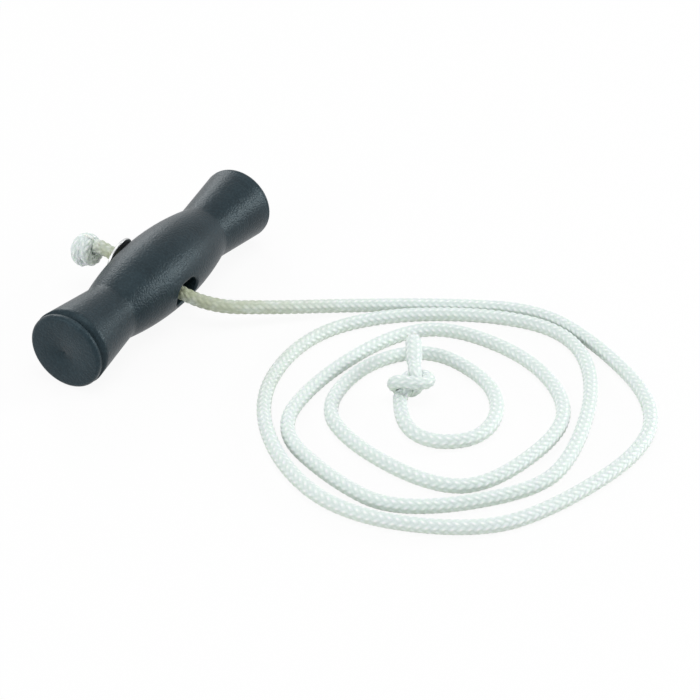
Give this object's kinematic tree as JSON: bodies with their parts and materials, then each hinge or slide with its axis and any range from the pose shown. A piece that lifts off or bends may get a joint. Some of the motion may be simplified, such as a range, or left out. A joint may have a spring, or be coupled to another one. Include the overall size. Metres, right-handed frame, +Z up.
{
  "type": "pull grip",
  "caption": "Waisted pull-start hand grip with a braided cord through its middle, stopped behind by a washer and knot and laid out in front as a loose flat spiral with a knotted end.",
  "frame": {"origin": "centre of the underside of the grip, its caps and washer, on the floor it lies on", "axes": "+X along the grip, +Y level and the way the cord leaves the grip, +Z up"},
  "size_m": [0.1351, 0.216, 0.028],
  "materials": {
    "grip": "fine-grained moulded",
    "washer": "plated, softly brushed",
    "cord": "round plaited synthetic yarn",
    "sealed_cord": "heat-sealed yarn"
  },
  "bodies": {
    "cord": {"rope": "cord", "stop_knot": "cord", "end_knot": "cord", "sealed_tail": "sealed_cord"},
    "washer": {"stop_washer": "washer"},
    "grip": {"grip_body": "grip", "left_end_cap": "grip", "right_end_cap": "grip"}
  },
  "joints": [
    {"name": "washer_slide", "type": "slide", "parent": "cord", "child": "washer", "axis": [0, -0.9703, 0.2419], "range_m": [0, 0.0055]},
    {"name": "grip_swivel", "type": "hinge", "parent": "washer", "child": "grip", "pos_m": [0.0018, 0.0011, 0.014], "axis": [0, -0.9703, 0.2419], "range_deg": [-180, 180]}
  ]
}
